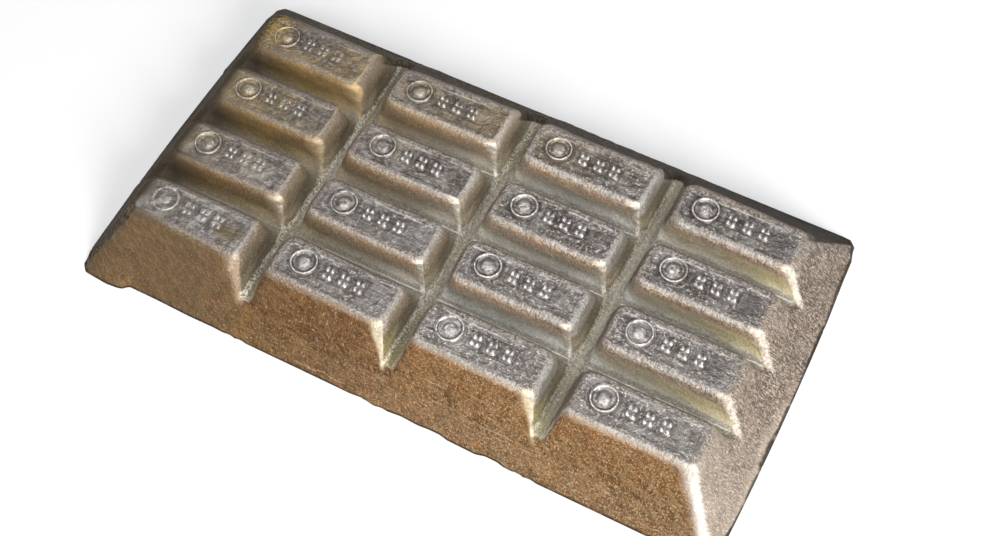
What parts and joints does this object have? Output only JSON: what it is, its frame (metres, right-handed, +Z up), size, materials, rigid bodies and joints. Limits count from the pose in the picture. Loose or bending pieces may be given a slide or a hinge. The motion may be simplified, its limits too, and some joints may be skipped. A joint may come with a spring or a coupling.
{
  "type": "waffle ingot",
  "caption": "Cast copper-alloy ingot with leaning sides, its top parted by grooves into raised pads so that pieces can be broken off for melting.",
  "frame": {"origin": "middle of the flat underside, on the floor", "axes": "+X along the length of the block and of its pads, +Y across it from the front face to the back face, +Z up through the pad tops"},
  "size_m": [0.301, 0.165, 0.029],
  "materials": {
    "cast_alloy": "as cast: dull grey pad tops, bronze-brown sides, bright worn edges"
  },
  "bodies": {
    "root": {"ingot": "cast_alloy"}
  },
  "joints": []
}
